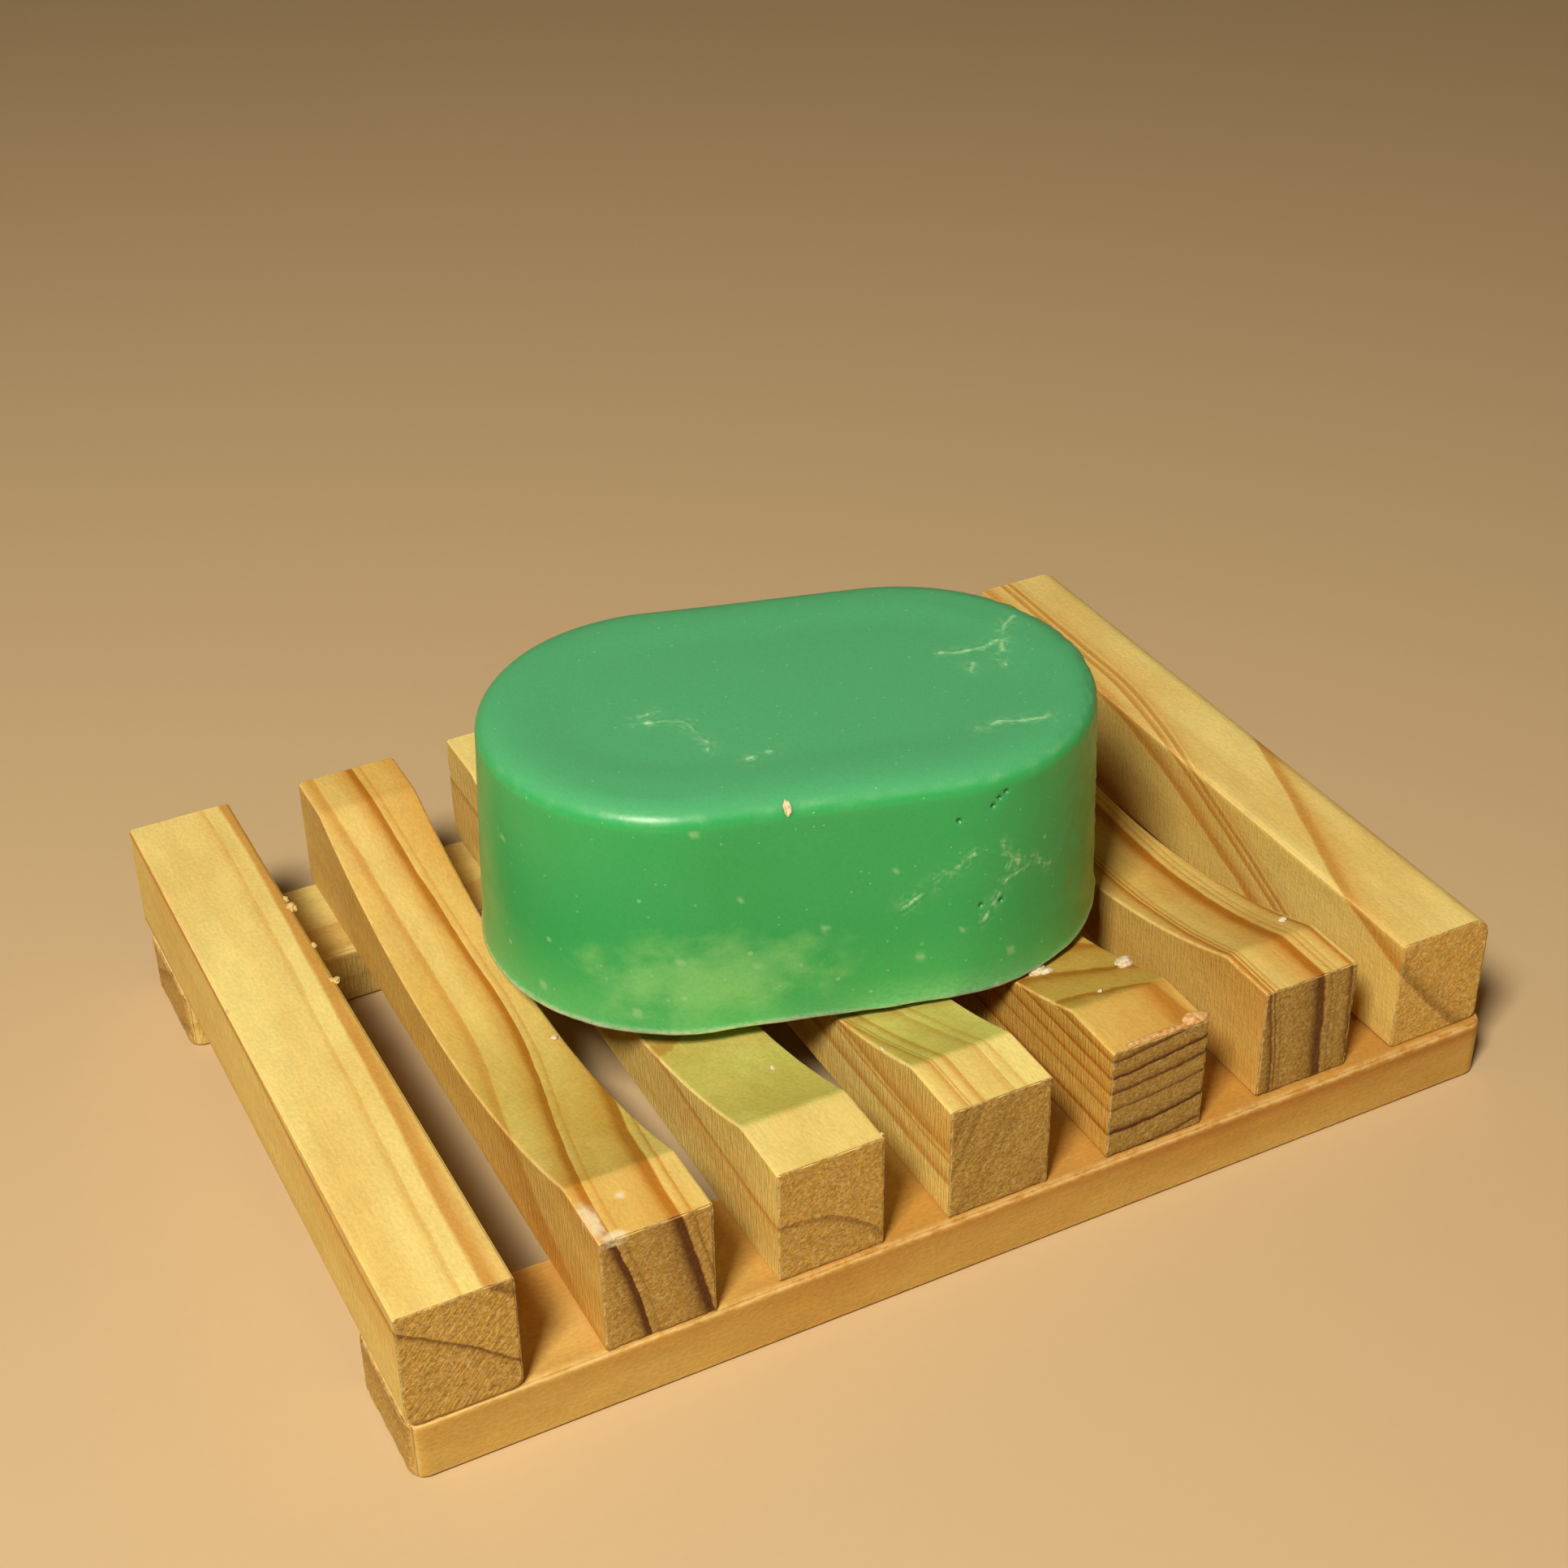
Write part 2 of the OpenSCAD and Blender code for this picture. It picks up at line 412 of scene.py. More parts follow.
def glycerine_soap(settings):
    """Cast soap: light goes a few millimetres in, so edges glow, and the foot and lower side are also
    painted pale as glow.

    The top is painted a little bluer and duller than the sides, as a painted reflection
    on faces that look up. Trapped air shows as pale dots in the lower half, and scuffs are
    white where the surface is torn.
    """
    material, tree = new_material("cast_glycerine_soap")
    place = object_millimetres(tree)
    height = add(tree, "SeparateXYZ", place, out="Z")
    up = add(tree, "SeparateXYZ", add(tree, "TexCoord", out="Normal"), out="Z")
    top, pale = (*settings.top, 1), (*settings.pale, 1)

    # Painted reflection: faces that look up take the bluer, duller top colour
    facing_up = add(tree, "MapRange", up, 0.35, 0.95, **SMOOTH)
    colour = add(tree, "Mix", facing_up, (*settings.body, 1), top, **COLOUR)

    # Painted glow: the side is painted brighter downwards, standing in for light that goes in near the
    # foot and comes out again
    glow = add(tree, "MapRange", height, 0.0, 11.0, 0.5, 0.0, **SMOOTH)
    colour = add(tree, "Mix", glow, colour, (*settings.glow, 1), **COLOUR)

    # A paler cloudy patch low on the front, left of the middle
    from_cloud = add(tree, "VectorMath", place, CLOUD_PLACE, **LESS)
    shaped = add(tree, "VectorMath", from_cloud, CLOUD_REACH, operation="DIVIDE")
    away = add(tree, "VectorMath", shaped, operation="LENGTH")
    billows = mottling(tree, place, (5.0, 5.0, 3.4), detail=5, roughness=0.6)
    ragged = add(tree, "Math", away, add(tree, "Math", billows, 1.6, **TIMES), **PLUS)
    cloud = add(tree, "MapRange", ragged, 1.0, 1.8, 0.7, 0.0, **SMOOTH)
    colour = add(tree, "Mix", cloud, colour, (*settings.patch, 1), **COLOUR)

    # Slow changes in depth of colour, and the fine grain of the set soap
    duller = patches(tree, place, (9.0, 9.0, 7.0), 0.3, 0.75, 0.0, 0.16, seed=4)
    colour = add(tree, "Mix", duller, colour, top, **COLOUR)
    grain = mottling(tree, place, (0.35,) * 3, detail=3)
    colour = shaded(tree, colour, add(tree, "MapRange", grain, 0.2, 0.8, 0.93, 1.07))

    # Air bubbles 0.3 to 0.7 mm across: most cells have none, and the lower half has more
    away, lot = add(tree, "TexVoronoi", place, 1 / BUBBLE_CELL, out=None)[:2]
    luck, size, _ = add(tree, "SeparateColor", lot, out=None)
    rarer = add(tree, "MapRange", height, 3.0, 22.0, -0.12, 0.3)
    luck = add(tree, "Math", luck, rarer, **PLUS)
    chosen = add(tree, "MapRange", luck, 0.2, 0.26, 1.0, 0.0, **SMOOTH)
    wide = chain(tree, "Math", size, size, 0.12, **TIMES)
    away = add(tree, "Math", away, wide, **LESS)
    dot = add(tree, "MapRange", away, 0.03, 0.1, 1.0, 0.0, **SMOOTH)
    bubbles = chain(tree, "Math", dot, chosen, 0.38, **TIMES)

    # Specks of undissolved powder about 0.15 mm across, one or two to each 5 mm of surface
    away, lot = add(tree, "TexVoronoi", place, 1 / SPECK_CELL, out=None)[:2]
    luck = add(tree, "SeparateColor", lot, out="Red")
    chosen = add(tree, "MapRange", luck, 0.17, 0.2, 0.4, 0.0, **SMOOTH)
    dot = add(tree, "MapRange", away, 0.09, 0.16, 1.0, 0.0, **SMOOTH)
    specks = add(tree, "Math", dot, chosen, **TIMES)
    marked = add(tree, "Attribute", attribute_name="bubble", out="Fac")
    dots = chain(tree, "Math", bubbles, marked, specks, operation="MAXIMUM")
    colour = add(tree, "Mix", dots, colour, pale, **COLOUR)

    # The foot painted pale as glow and frosted, torn scuffs, and painted shade in the pits
    foot = add(tree, "Attribute", attribute_name="foot", out="Fac")
    frost = patches(tree, place, (0.6, 0.6, 0.4), 0.3, 0.65, 0.35, 0.9, detail=3, seed=2)
    colour = add(tree, "Mix", add(tree, "Math", foot, frost, **TIMES), colour, pale, **COLOUR)
    scuff = add(tree, "Attribute", attribute_name="scuff", out="Fac")
    torn = patches(tree, place, (0.3,) * 3, 0.35, 0.6, 0.35, 1.0, seed=9)
    white = add(tree, "Math", scuff, torn, **TIMES)
    colour = add(tree, "Mix", white, colour, pale, **COLOUR)
    # Painted shade: the pits are painted dark green, where shade falls in them
    pit = add(tree, "Attribute", attribute_name="pit", out="Fac")
    colour = add(tree, "Mix", pit, colour, (*settings.hollow, 1), **COLOUR)

    gloss = patches(tree, place, (6.0, 6.0, 3.0), 0.3, 0.7, 0.30, 0.38, detail=3, seed=6)
    peel = mottling(tree, place, (0.9,) * 3, seed=7)
    relief = add(tree, "Math", peel, add(tree, "Math", grain, 0.25, **TIMES), **PLUS)
    finish = {
        "Base Color": colour,
        "Roughness": add(tree, "Math", gloss, add(tree, "Math", white, 0.3, **TIMES), **PLUS),
        "Normal": add(tree, "Bump", {"Height": relief, "Strength": 0.35, "Distance": 0.06 * MM}),
        "Subsurface Weight": 0.85,
        "Subsurface Radius": (0.4, 1.0, 0.5),
        "Subsurface Scale": settings.scatter,
        "IOR": 1.47,
    }
    return finished(material, finish)


# How dark a growth ring is across it: (place in widths from its dark line, darkness)
RING_PROFILE = ((-1.5, 0.0), (-0.4, 0.45), (0.0, 1.0), (0.3, 1.0), (0.45, 0.0))
# How far the scale of rings runs past the first and last band
RING_MARGIN = 4


def ring_ramp(tree, place, bands):
    """Darkness of the summer wood from how far out in the log a point is.

    Each band is (place, width, depth) in millimetres: spring wood darkens slowly towards
    the outside of a ring, then stops at a crisp line. A width below 0 turns that round.
    """
    places = [band[0] for band in bands]
    low, high = min(places) - RING_MARGIN, max(places) + RING_MARGIN
    darkness = add(tree, "ValToRGB", add(tree, "MapRange", place, low, high))
    stops = darkness.node.color_ramp.elements
    stops[0].color = (0, 0, 0, 1)
    stops[1].color = (0, 0, 0, 1)
    for middle, width, depth in bands:
        for offset, level in RING_PROFILE:
            at = (middle + offset * width - low) / (high - low)
            stop = stops.new(min(max(at, 0.0), 1.0))
            stop.color = (level * depth,) * 3 + (1,)
    return darkness


def growth_rings(tree, place, along_grain, wood):
    """Darkness of the summer wood, in rings about a pith that wanders along the length."""
    seed = wood["seed"]
    pith = Vector(wood["pith"])
    drift = add(tree, "MapRange", along_grain, *wood["drift_over"], **SMOOTH)
    shift = add(tree, "VectorMath", wood["drift"], drift, operation="SCALE")
    flat = add(tree, "VectorMath", place, (1, 0, 1), **TIMES)
    spoke = chain(tree, "VectorMath", flat, shift, (pith.x, 0, pith.y), **LESS)
    radius = add(tree, "VectorMath", spoke, operation="LENGTH")
    wander = mottling(tree, place, (16.0, 55.0, 16.0), detail=1, seed=seed)
    tremble = mottling(tree, place, (1.6, 14.0, 1.6), seed=seed + 3)
    outward = chain(
        tree,
        "Math",
        radius,
        -pith.length,
        add(tree, "MapRange", wander, 0, 1, -0.6, 0.6),
        add(tree, "MapRange", tremble, 0, 1, -0.22, 0.22),
        **PLUS,
    )
    return ring_ramp(tree, outward, wood["bands"])


def bare_pine(name, corner, wood, settings, along="Y"):
    """Sawn and lightly sanded pine: cream spring wood, orange summer lines, no varnish.

    Sides show fibres a few tenths of a millimetre wide. The ends are greyer and darker,
    because open fibres soak up light, and carry the saw's fine slanted scratches.
    """
    material, tree = new_material(name)
    place = object_millimetres(tree, corner)
    normal = add(tree, "TexCoord", out="Normal")
    across, ahead, _ = add(tree, "SeparateXYZ", normal, out=None)
    if along == "X":
        x, y, z = add(tree, "SeparateXYZ", place, out=None)
        place = add(tree, "CombineXYZ", y, x, z)
        across, ahead = ahead, across
    along_grain = add(tree, "SeparateXYZ", place, out="Y")
    seed = wood["seed"]
    late = growth_rings(tree, place, along_grain, wood)

    # Which faces are the bar's ends, and which its sides
    facing_end = add(tree, "Math", ahead, operation="ABSOLUTE")
    facing_side = add(tree, "Math", across, operation="ABSOLUTE")
    at_end = add(tree, "MapRange", facing_end, 0.62, 0.9, **SMOOTH)
    at_side = add(tree, "MapRange", facing_side, 0.8, 0.95, **SMOOTH)

    # Faces along the grain: spring wood, golden where it turns, and dark summer lines
    warmth = patches(tree, place, (7.0, 30.0, 7.0), 0.35, 0.7, 0.0, 0.5, detail=1, seed=seed + 8)
    warmth = add(tree, "Math", warmth, wood["warmth"], **PLUS)
    pale_wood, warm_wood = (*settings.spring_wood, 1), (*settings.warm_wood, 1)
    summer_wood = (*settings.summer_wood, 1)
    face = add(tree, "Mix", warmth, pale_wood, warm_wood, **COLOUR)
    streak = patches(tree, place, (1.1, 45.0, 1.1), 0.5, 0.85, seed=seed + 5)
    streak = add(tree, "Math", streak, 0.12, **TIMES)
    face = add(tree, "Mix", streak, face, summer_wood, **COLOUR)
    golden = add(tree, "Math", late, wood["contrast"], **TIMES)
    face = add(tree, "Mix", golden, face, (*settings.golden_wood, 1), **COLOUR)
    darkest = add(tree, "Math", late, 1.5, operation="POWER")
    resinous = chain(tree, "Math", darkest, wood["contrast"], 0.9, **TIMES)
    face = add(tree, "Mix", resinous, face, summer_wood, **COLOUR)

    # Fibres, short flecks, blotches, and the saw's marks across the sides
    fibre = mottling(tree, place, (0.22, 3.0, 0.22), detail=3, roughness=0.65, seed=seed)
    fleck = mottling(tree, place, (0.35, 0.6, 0.35), detail=3, roughness=0.6, seed=seed + 4)
    blotch = mottling(tree, place, (2.5, 5.0, 2.5), detail=3, seed=seed + 9)
    cuts = patches(tree, place, (2.2, 0.3, 2.2), 0.3, 0.7, -1.0, 1.0, seed=seed + 11)
    sawn = chain(tree, "Math", cuts, at_side, wood["sawn"], **TIMES)
    tone = wood["tone"]
    tone = chain(
        tree,
        "Math",
        add(tree, "MapRange", fibre, 0.2, 0.8, tone - 0.08, tone + 0.05),
        add(tree, "MapRange", fleck, 0.3, 0.7, -0.08, 0.08),
        add(tree, "MapRange", blotch, 0.3, 0.7, -0.05, 0.05),
        sawn,
        **PLUS,
    )
    face = shaded(tree, face, tone)
    # Painted shade: the side faces are multiplied a little deeper and warmer in colour than the top,
    # standing in for their shade and warm bounce light
    face = add(tree, "Mix", at_side, face, linear(wood["side"]), **TINT)

    # Sawn ends: open grain, slanted scratches, and crushed fibre between the rings
    rough_grain = mottling(tree, place, (0.36,) * 3, detail=4, roughness=0.75, seed=seed)
    turned = {"Vector": place, "Angle": wood["saw_angle"]}
    slant = add(tree, "VectorRotate", turned, rotation_type="Y_AXIS")
    hatch = mottling(tree, slant, (2.4, 2.4, 0.24), seed=seed + 2)
    dark = add(tree, "Math", late, 1.4, operation="POWER")
    end = add(tree, "Mix", dark, (*settings.end_wood, 1), (*settings.end_ring, 1), **COLOUR)
    scratches = add(tree, "MapRange", hatch, 0.3, 0.7, -1.0, 1.0)
    scratches = add(tree, "Math", scratches, wood["hatch"], **TIMES)
    pores = add(tree, "MapRange", rough_grain, 0.32, 0.68, 0.62, 1.28)
    end = shaded(tree, end, add(tree, "Math", pores, scratches, **PLUS))
    crushed = patches(tree, place, (0.5,) * 3, 0.48, 0.66, detail=4, roughness=0.7, seed=seed + 13)
    between = add(tree, "Math", 1.0, late, **LESS)
    crushed = chain(tree, "Math", crushed, between, 0.55, **TIMES)
    end = add(tree, "Mix", crushed, end, (*settings.crushed, 1), **COLOUR)
    end = add(tree, "HueSaturation", {"Color": end, "Value": wood["end_tone"]})
    colour = add(tree, "Mix", at_end, face, end, **COLOUR)

    # Edges rubbed paler, soap residue in the trough with painted green light bounced from the puck, dried
    # soap where it was smeared
    edge = add(tree, "Attribute", attribute_name="edge", out="Fac")
    worn = patches(
        tree, place, (0.8, 1.6, 0.8), 0.36, 0.6, 0.0, 0.7, detail=3, roughness=0.7, seed=seed + 7
    )
    rubbed = add(tree, "Math", edge, worn, **TIMES)
    colour = add(tree, "Mix", rubbed, colour, (*settings.rubbed, 1), **COLOUR)
    # The trough tint is partly soap residue, partly painted green bounce light from the puck, fading
    # further along the slat
    trough = add(tree, "Attribute", attribute_name="trough", out="Fac")
    near, far = wood["residue_over"]
    fading = add(tree, "MapRange", along_grain, near, far, wood["residue_and_bounce"], 0.0, **SMOOTH)
    smear = patches(tree, place, (2.5, 5.0, 2.5), 0.2, 0.7, 0.75, 1.0, detail=3, seed=seed + 6)
    residue_and_bounce_mask = chain(tree, "Math", trough, fading, smear, **TIMES)
    colour = add(tree, "Mix", residue_and_bounce_mask, colour, (*settings.residue_and_bounce, 1), **TINT)
    chalk = add(tree, "Attribute", attribute_name="chalk", out="Fac")
    flakes = mottling(tree, place, (0.7, 1.4, 0.7), detail=4, roughness=0.6, seed=seed + 1)
    flaky = add(tree, "Math", chalk, flakes, **PLUS)
    flaky = add(tree, "MapRange", flaky, 0.8, 1.45, 0.0, 0.75, **SMOOTH)
    colour = add(tree, "Mix", flaky, colour, (*settings.chalk, 1), **COLOUR)

    relief = chain(
        tree,
        "Math",
        chain(tree, "Math", fleck, add(tree, "Math", 1.0, at_end, **LESS), 0.5, **TIMES),
        add(tree, "Math", sawn, 4.0, **TIMES),
        chain(tree, "Math", rough_grain, at_end, 2.2, **TIMES),
        chain(tree, "Math", hatch, at_end, 5.0, wood["hatch"], **TIMES),
        add(tree, "Math", late, -0.15, **TIMES),
        **PLUS,
    )
    finish = {
        "Base Color": colour,
        "Roughness": add(tree, "MapRange", at_end, 0, 1, 0.58, 0.85),
        "Normal": add(tree, "Bump", {"Height": relief, "Strength": 0.8, "Distance": 0.16 * MM}),
        "IOR": 1.5,
        "Specular IOR Level": 0.35,
    }
    return finished(material, finish)


def drawn_steel():
    """Brads cut from drawn wire: bright, with fine scratches along the shank."""
    material, tree = new_material("drawn_steel_wire")
    place = object_millimetres(tree)
    scratch = mottling(tree, place, (0.08, 0.08, 2.0))
    finish = {
        "Base Color": add(tree, "Mix", scratch, linear("#8E8C88"), linear("#C2C0BB"), **COLOUR),
        "Roughness": add(tree, "MapRange", scratch, 0.2, 0.8, 0.25, 0.45, **SMOOTH),
        "Metallic": 1.0,
    }
    return finished(material, finish)


def chalky_crumb(name, colour, hollow_shade_colour):
    """A crumb of dried soap or torn fibre: dull and pale, with painted shade darkening its hollows."""
    material, tree = new_material(name)
    place = object_millimetres(tree)
    lumps = mottling(tree, place, (0.4,) * 3, detail=3, roughness=0.65)
    # Painted shade: the low parts of the bumps take the darker hollow colour
    high = add(tree, "MapRange", lumps, 0.3, 0.65, **SMOOTH)
    finish = {
        "Base Color": add(tree, "Mix", high, linear(hollow_shade_colour), linear(colour), **COLOUR),
        "Normal": add(tree, "Bump", {"Height": lumps, "Strength": 0.6, "Distance": 0.1 * MM}),
        "Roughness": 0.55,
        "Subsurface Weight": 0.5,
        "Subsurface Radius": (1.0, 0.8, 0.6),
        "Subsurface Scale": 0.4 * MM,
    }
    return finished(material, finish)


def studio_paper(settings):
    """Seamless backdrop paper: matt, with a barely visible tooth."""
    material, tree = new_material("studio_paper")
    place = object_millimetres(tree)
    tooth = mottling(tree, place, (1.5,) * 3)
    shade = add(tree, "MapRange", tooth, 0.2, 0.8, 0.985, 1.0)
    finish = {"Base Color": shaded(tree, (*settings.floor, 1), shade), "Roughness": 0.9}
    return finished(material, finish)


# ---------------------------------------------------------------- the puck

# Scuffs on the top, each a line of points from the puck's centre, along and across it
TOP_SCUFFS = [
    [(-16.2, -2.9), (-14.2, -3.1), (-11.4, -3.5), (-10.8, -5.4), (-9.7, -7.6), (-10.0, -9.2)],
    [(-16.0, -2.1), (-13.0, -0.8)],
    [(-6.4, -11.6), (-5.2, -11.0), (-3.6, -10.7)],
    [(16.7, 3.5), (18.9, 3.2), (21.3, 3.7), (23.0, 4.4)],
    [(26.0, 8.7), (24.2, 6.5), (23.3, 3.4), (22.3, 0.9), (22.9, -0.7)],
    [(19.5, 0.9), (18.8, -0.5)],
    [(16.4, -11.6), (18.9, -10.7), (21.4, -11.1), (24.2, -11.0)],
]
# Scuffs on the side: distance along it from the middle of the front, and height
SIDE_SCUFFS = [
    [(14.2, 16.8), (11.6, 15.2), (9.5, 13.6), (7.0, 11.8)],
    [(17.3, 16.8), (18.5, 15.2), (19.8, 14.1), (21.3, 13.6), (23.8, 12.2)],
    [(18.5, 14.8), (17.9, 12.7), (16.3, 10.2), (15.3, 8.6)],
    [(17.9, 12.9), (20.6, 13.4)],
]
SIDE_PITS = [(17.8, 22.9), (17.0, 22.4), (16.3, 21.7), (12.6, 20.8), (17.4, 10.4), (15.1, 10.5)]
# Large bubbles just under the side: distance along, height, radius
SIDE_BUBBLES = [
    (-0.8, 10.5, 0.42),
    (-15.2, 8.6, 0.45),
    (8.8, 5.6, 0.5),
    (18.7, 3.9, 0.5),
    (-19.6, 2.4, 0.5),
    (-30.3, 2.5, 0.5),
    (13.1, 8.1, 0.35),
    (6.3, 16.1, 0.35),
    (-13.3, 23.2, 0.35),
    (-9.0, 15.2, 0.3),
    (-36.2, 17.1, 0.35),
    (-7.5, 7.2, 0.3),
]
# How far in from its rim the top is still sinking
TOP_SLOPE = 6.0
# Below 1, the shoulder falls gently from the top and turns more tightly into the side
SHOULDER_POWER = 0.8
SHOULDER_STEPS = 21
# Heights of the last points above the foot, and how far in the first points under it are
FOOT_HEIGHTS = (0.7, 0.45, 0.25, 0.12, 0.0)
UNDER_STEPS = (0.25, 0.6)
# How far up the middle of the underside is, so that the puck stands on its rim
UNDER_HEIGHT = 0.02


class PuckShape:
    """The puck as a distance out from the line between its two round ends, and a height."""

    def __init__(self, settings, height):
        self.height = height
        self.foot = settings.width / MM / 2
        self.straight = (settings.length - settings.width) / MM / 2
        self.draft = settings.draft / MM
        self.shoulder = settings.shoulder / MM
        self.sink = settings.sink / MM
        self.rim = self.foot - self.draft - self.shoulder
        self.drop = settings.drop / MM
        self.wall = height - self.drop

    def wall_out(self, height):
        """How far out the leaning side is at a height."""
        return self.foot - self.draft * height / self.wall

    def top_height(self, out):
        """Height of the top, sunk inside its rim."""
        part = np.clip((self.rim - out) / TOP_SLOPE, 0, 1)
        return self.height - self.sink * (1 - np.cos(np.pi * part)) / 2

    def shoulder_point(self, turn):
        """Out and height on the shoulder, which falls gently and turns tightly at the side."""
        out = self.rim + self.shoulder * math.sin(turn) ** SHOULDER_POWER
        return out, self.wall + self.drop * max(math.cos(turn), 0.0) ** SHOULDER_POWER

    def section(self, step):
        """Points from the middle of the top, over the shoulder, down to the foot and under."""
        top = [(o, float(self.top_height(o))) for o in np.arange(0, self.rim, step)]
        turns = np.linspace(0, math.pi / 2, SHOULDER_STEPS)
        shoulder = [self.shoulder_point(turn) for turn in turns]
        heights = np.arange(self.wall - step, 0.9, -step)
        wall = [(self.wall_out(h), h) for h in heights]
        lip = [(self.wall_out(h), h) for h in FOOT_HEIGHTS]
        under = [(self.foot - d, UNDER_HEIGHT * d) for d in UNDER_STEPS]
        under += [(o, UNDER_HEIGHT) for o in np.linspace(self.foot - 1.2, 0, 12)]
        return top + shoulder + wall + lip + under

    def outline(self, step):
        """Start points and directions around the puck, anticlockwise from the front middle."""
        arc = math.pi * self.foot
        length = 4 * self.straight + 2 * arc
        count = round(length / step)
        made = []
        for i in range(count):
            s = (length * i / count + length / 2) % length - length / 2
            made.append(self.station(s))
        return made

    def station(self, s):
        """The point between the end centres, and the outward direction, at s along the side."""
        arc = math.pi * self.foot
        side = math.copysign(1, s)
        way = abs(s)
        if way <= self.straight:
            return s, 0.0, -1.0
        if way <= self.straight + arc:
            angle = (way - self.straight) / self.foot
            return side * self.straight, side * math.sin(angle), -math.cos(angle)
        return side * (2 * self.straight + arc - way), 0.0, 1.0

    def side_point(self, s, height):
        """The point on the side at s along it from the middle of the front."""
        start, out_x, out_y = self.station(s)
        out = self.wall_out(height)
        return start + out * out_x, out * out_y, height

    def out_from_line(self, points):
        """How far points are from the line between the end centres."""
        beyond = np.maximum(np.abs(points[:, 0]) - self.straight, 0)
        return np.hypot(beyond, points[:, 1])


class SOAPDISH_OT_puck(bpy.types.Operator):
    """Make the soap puck, with its flash, bubbles, pits and scuffs"""

    bl_idname = "soapdish.puck"
    bl_label = "Soap Puck"

    def execute(self, context):
        settings = context.scene.soap_puck
        low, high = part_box("soap_puck")
        shape = PuckShape(settings, (high.z - low.z) / MM)
        section = shape.section(0.5)
        ring = shape.outline(0.45)
        points = [
            (start + out * out_x, out * out_y, height)
            for out, height in section
            for start, out_x, out_y in ring
        ]
        count = len(ring)
        faces = [
            (j * count + i, (j + 1) * count + i, (j + 1) * count + k, j * count + k)
            for j in range(len(section) - 1)
            for i, k in zip(range(count), [*range(1, count), 0])
        ]
        points, faces = weld(points, faces)

        scuffs = []
        for line in TOP_SCUFFS:
            out = [math.hypot(max(abs(x) - shape.straight, 0), y) for x, y in line]
            corners = [(x, y, float(shape.top_height(o))) for (x, y), o in zip(line, out)]
            scuffs += line_points(corners)
        for line in SIDE_SCUFFS:
            dense = line_points([(s, h) for s, h in line])
            scuffs += [shape.side_point(s, h) for s, h in dense]
        pits = [shape.side_point(s, h) for s, h in SIDE_PITS]
        bubbles = [shape.side_point(s, h) for s, h, _ in SIDE_BUBBLES]
        points, normals, faces = refine_near(points, faces, scuffs + pits, 0.9, 4)

        # The cast body is never quite true: slow swells, and a ragged right-hand end
        moved = 0.10 * ripple(points, 13.0, 1)
        rough_end = np.clip((points[:, 0] - 22) / 6, 0, 1) * np.clip(points[:, 2] / 3 - 1, 0, 1)
        rough_end *= np.where(shape.out_from_line(points) > shape.rim + 2.5, 1.0, 0.15)
        moved += 0.12 * rough_end * ripple(points, (0.9, 0.9, 0.9), 2)

        # Scuffs are torn grooves with a raised lip
        near = distances(points + 0.22 * ripple(points, 0.8, 12)[:, None], scuffs)
        broken = np.clip(0.5 + 1.1 * ripple(points, 0.7, 3), 0, 1)
        groove = np.exp(-((near / 0.15) ** 2))
        lip = np.exp(-(((near - 0.32) / 0.15) ** 2))
        moved += broken * (0.08 * lip - 0.12 * groove)
        scuff = broken * np.exp(-((near / 0.22) ** 2))
        haze = np.exp(-((near / 1.0) ** 2)) * np.clip(ripple(points, 0.4, 5) + 0.1, 0, 1)
        scuff = np.maximum(scuff, 0.5 * haze)
        # The shoulder is painted pale in places along its crest, where the highlight falls: partly rubbed
        # wear, partly painted highlight
        crest = np.exp(-(((shape.out_from_line(points) - shape.rim - 3.5) / 0.35) ** 2))
        crest *= (points[:, 2] > shape.wall) * np.clip(ripple(points, 1.1, 14), 0, 1)
        scuff = np.maximum(scuff, 0.3 * crest)
        # The pits are dented, and their mask also paints shade into them
        hole = np.exp(-((distances(points, pits) / 0.28) ** 4))
        moved -= 0.35 * hole

        # The flash: a thin lip at the foot, broken here and there
        outside = shape.out_from_line(points) > shape.foot - 1.5
        foot = np.clip(1 - points[:, 2] / 0.8, 0, 1) * outside
        teeth = 0.6 + 0.3 * ripple(points, (2.6, 2.6, 9.0), 6) + 0.1 * ripple(points, 0.6, 7)
        out = foot**1.5 * teeth * settings.flash / MM
        rise = foot * 0.12 * (ripple(points, (4.0, 4.0, 9.0), 8) + 1)
        points = points + normals * moved[:, None]
        flat = normals * (1, 1, 0)
        flat /= np.maximum(np.linalg.norm(flat, axis=1, keepdims=True), 1e-6)
        points = points + flat * out[:, None]
        points[:, 2] += rise
        points[:, 2] = np.clip(points[:, 2], 0, shape.height)

        bubble = np.zeros(len(points))
        for (_, _, radius), centre in zip(SIDE_BUBBLES, bubbles):
            away = np.linalg.norm(points - np.array(centre), axis=1)
            bubble = np.maximum(bubble, 0.5 * np.exp(-((away / radius) ** 4)))
        # The foot is painted pale as glow: the flash more towards the left, and the lowest 3.6 mm of the
        # side a little, more on the front about 11 mm right of the middle
        low_band = np.clip(1 - points[:, 2] / 3.6, 0, 1)
        bright = 0.45 + 0.75 * np.clip((6 - points[:, 0]) / 12, 0, 1)
        rubbed = np.exp(-(((points[:, 0] - 11) / 8) ** 2)) * (points[:, 1] < -15)
        values = {
            "scuff": np.clip(scuff, 0, 1),
            "pit": 0.35 * hole,
            "bubble": bubble,
            "foot": np.maximum(bright * foot, low_band * (0.15 + 0.3 * rubbed)),
        }
        puck = mesh_object("soap_body", points, faces, values)
        middle = (low + high) / 2
        puck.location = (middle.x, middle.y, low.z)
        puck.rotation_euler = Euler((0, 0, -settings.turn))
        place_piece(puck, glycerine_soap(settings), "soap", ["soap_puck"])
        return {"FINISHED"}


# ---------------------------------------------------------------- the slats and rails

